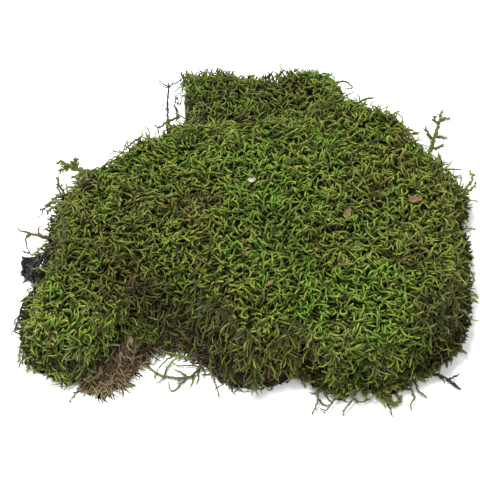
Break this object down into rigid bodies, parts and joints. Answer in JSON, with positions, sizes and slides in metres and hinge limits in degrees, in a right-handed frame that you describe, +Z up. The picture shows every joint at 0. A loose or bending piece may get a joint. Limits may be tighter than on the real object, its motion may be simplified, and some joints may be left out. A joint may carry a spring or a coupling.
{
  "type": "moss clump",
  "caption": "Torn-off clump of feather moss: a domed green mat of curved leafy shoots over brown thatch, cut flat underneath, with loose shoots, twigs and litter at its edge.",
  "frame": {"origin": "centre of the bounding box's underside, on the flat cut face the clump rests on", "axes": "+Z up, +X to the right along the longest side, +Y towards the low back lobe; the bay with the loose sprays faces -Y"},
  "size_m": [0.2562, 0.235, 0.0404],
  "materials": {
    "moss_green": "matte",
    "thatch_brown": "matte",
    "bark_dark": "matte",
    "straw": "matte",
    "dead_leaf": "matte",
    "pale_fleck": "matte",
    "pod_black": "satin"
  },
  "bodies": {
    "root": {"moss_mat": "moss_green", "thatch": "thatch_brown", "spray_lower": "moss_green", "spray_upper": "moss_green", "sprig_right": "moss_green", "sprig_left": "moss_green", "dead_sprig": "bark_dark", "twig_back": "bark_dark", "twig_front": "bark_dark", "bark_chip": "bark_dark", "bark_stick": "bark_dark", "root": "bark_dark", "straw_blade": "straw", "leaf_scrap_1": "dead_leaf", "leaf_scrap_2": "dead_leaf", "leaf_scrap_3": "dead_leaf", "leaf_scrap_4": "dead_leaf", "leaf_scrap_5": "dead_leaf", "pale_fleck": "pale_fleck", "seed_pod": "pod_black"}
  },
  "joints": []
}
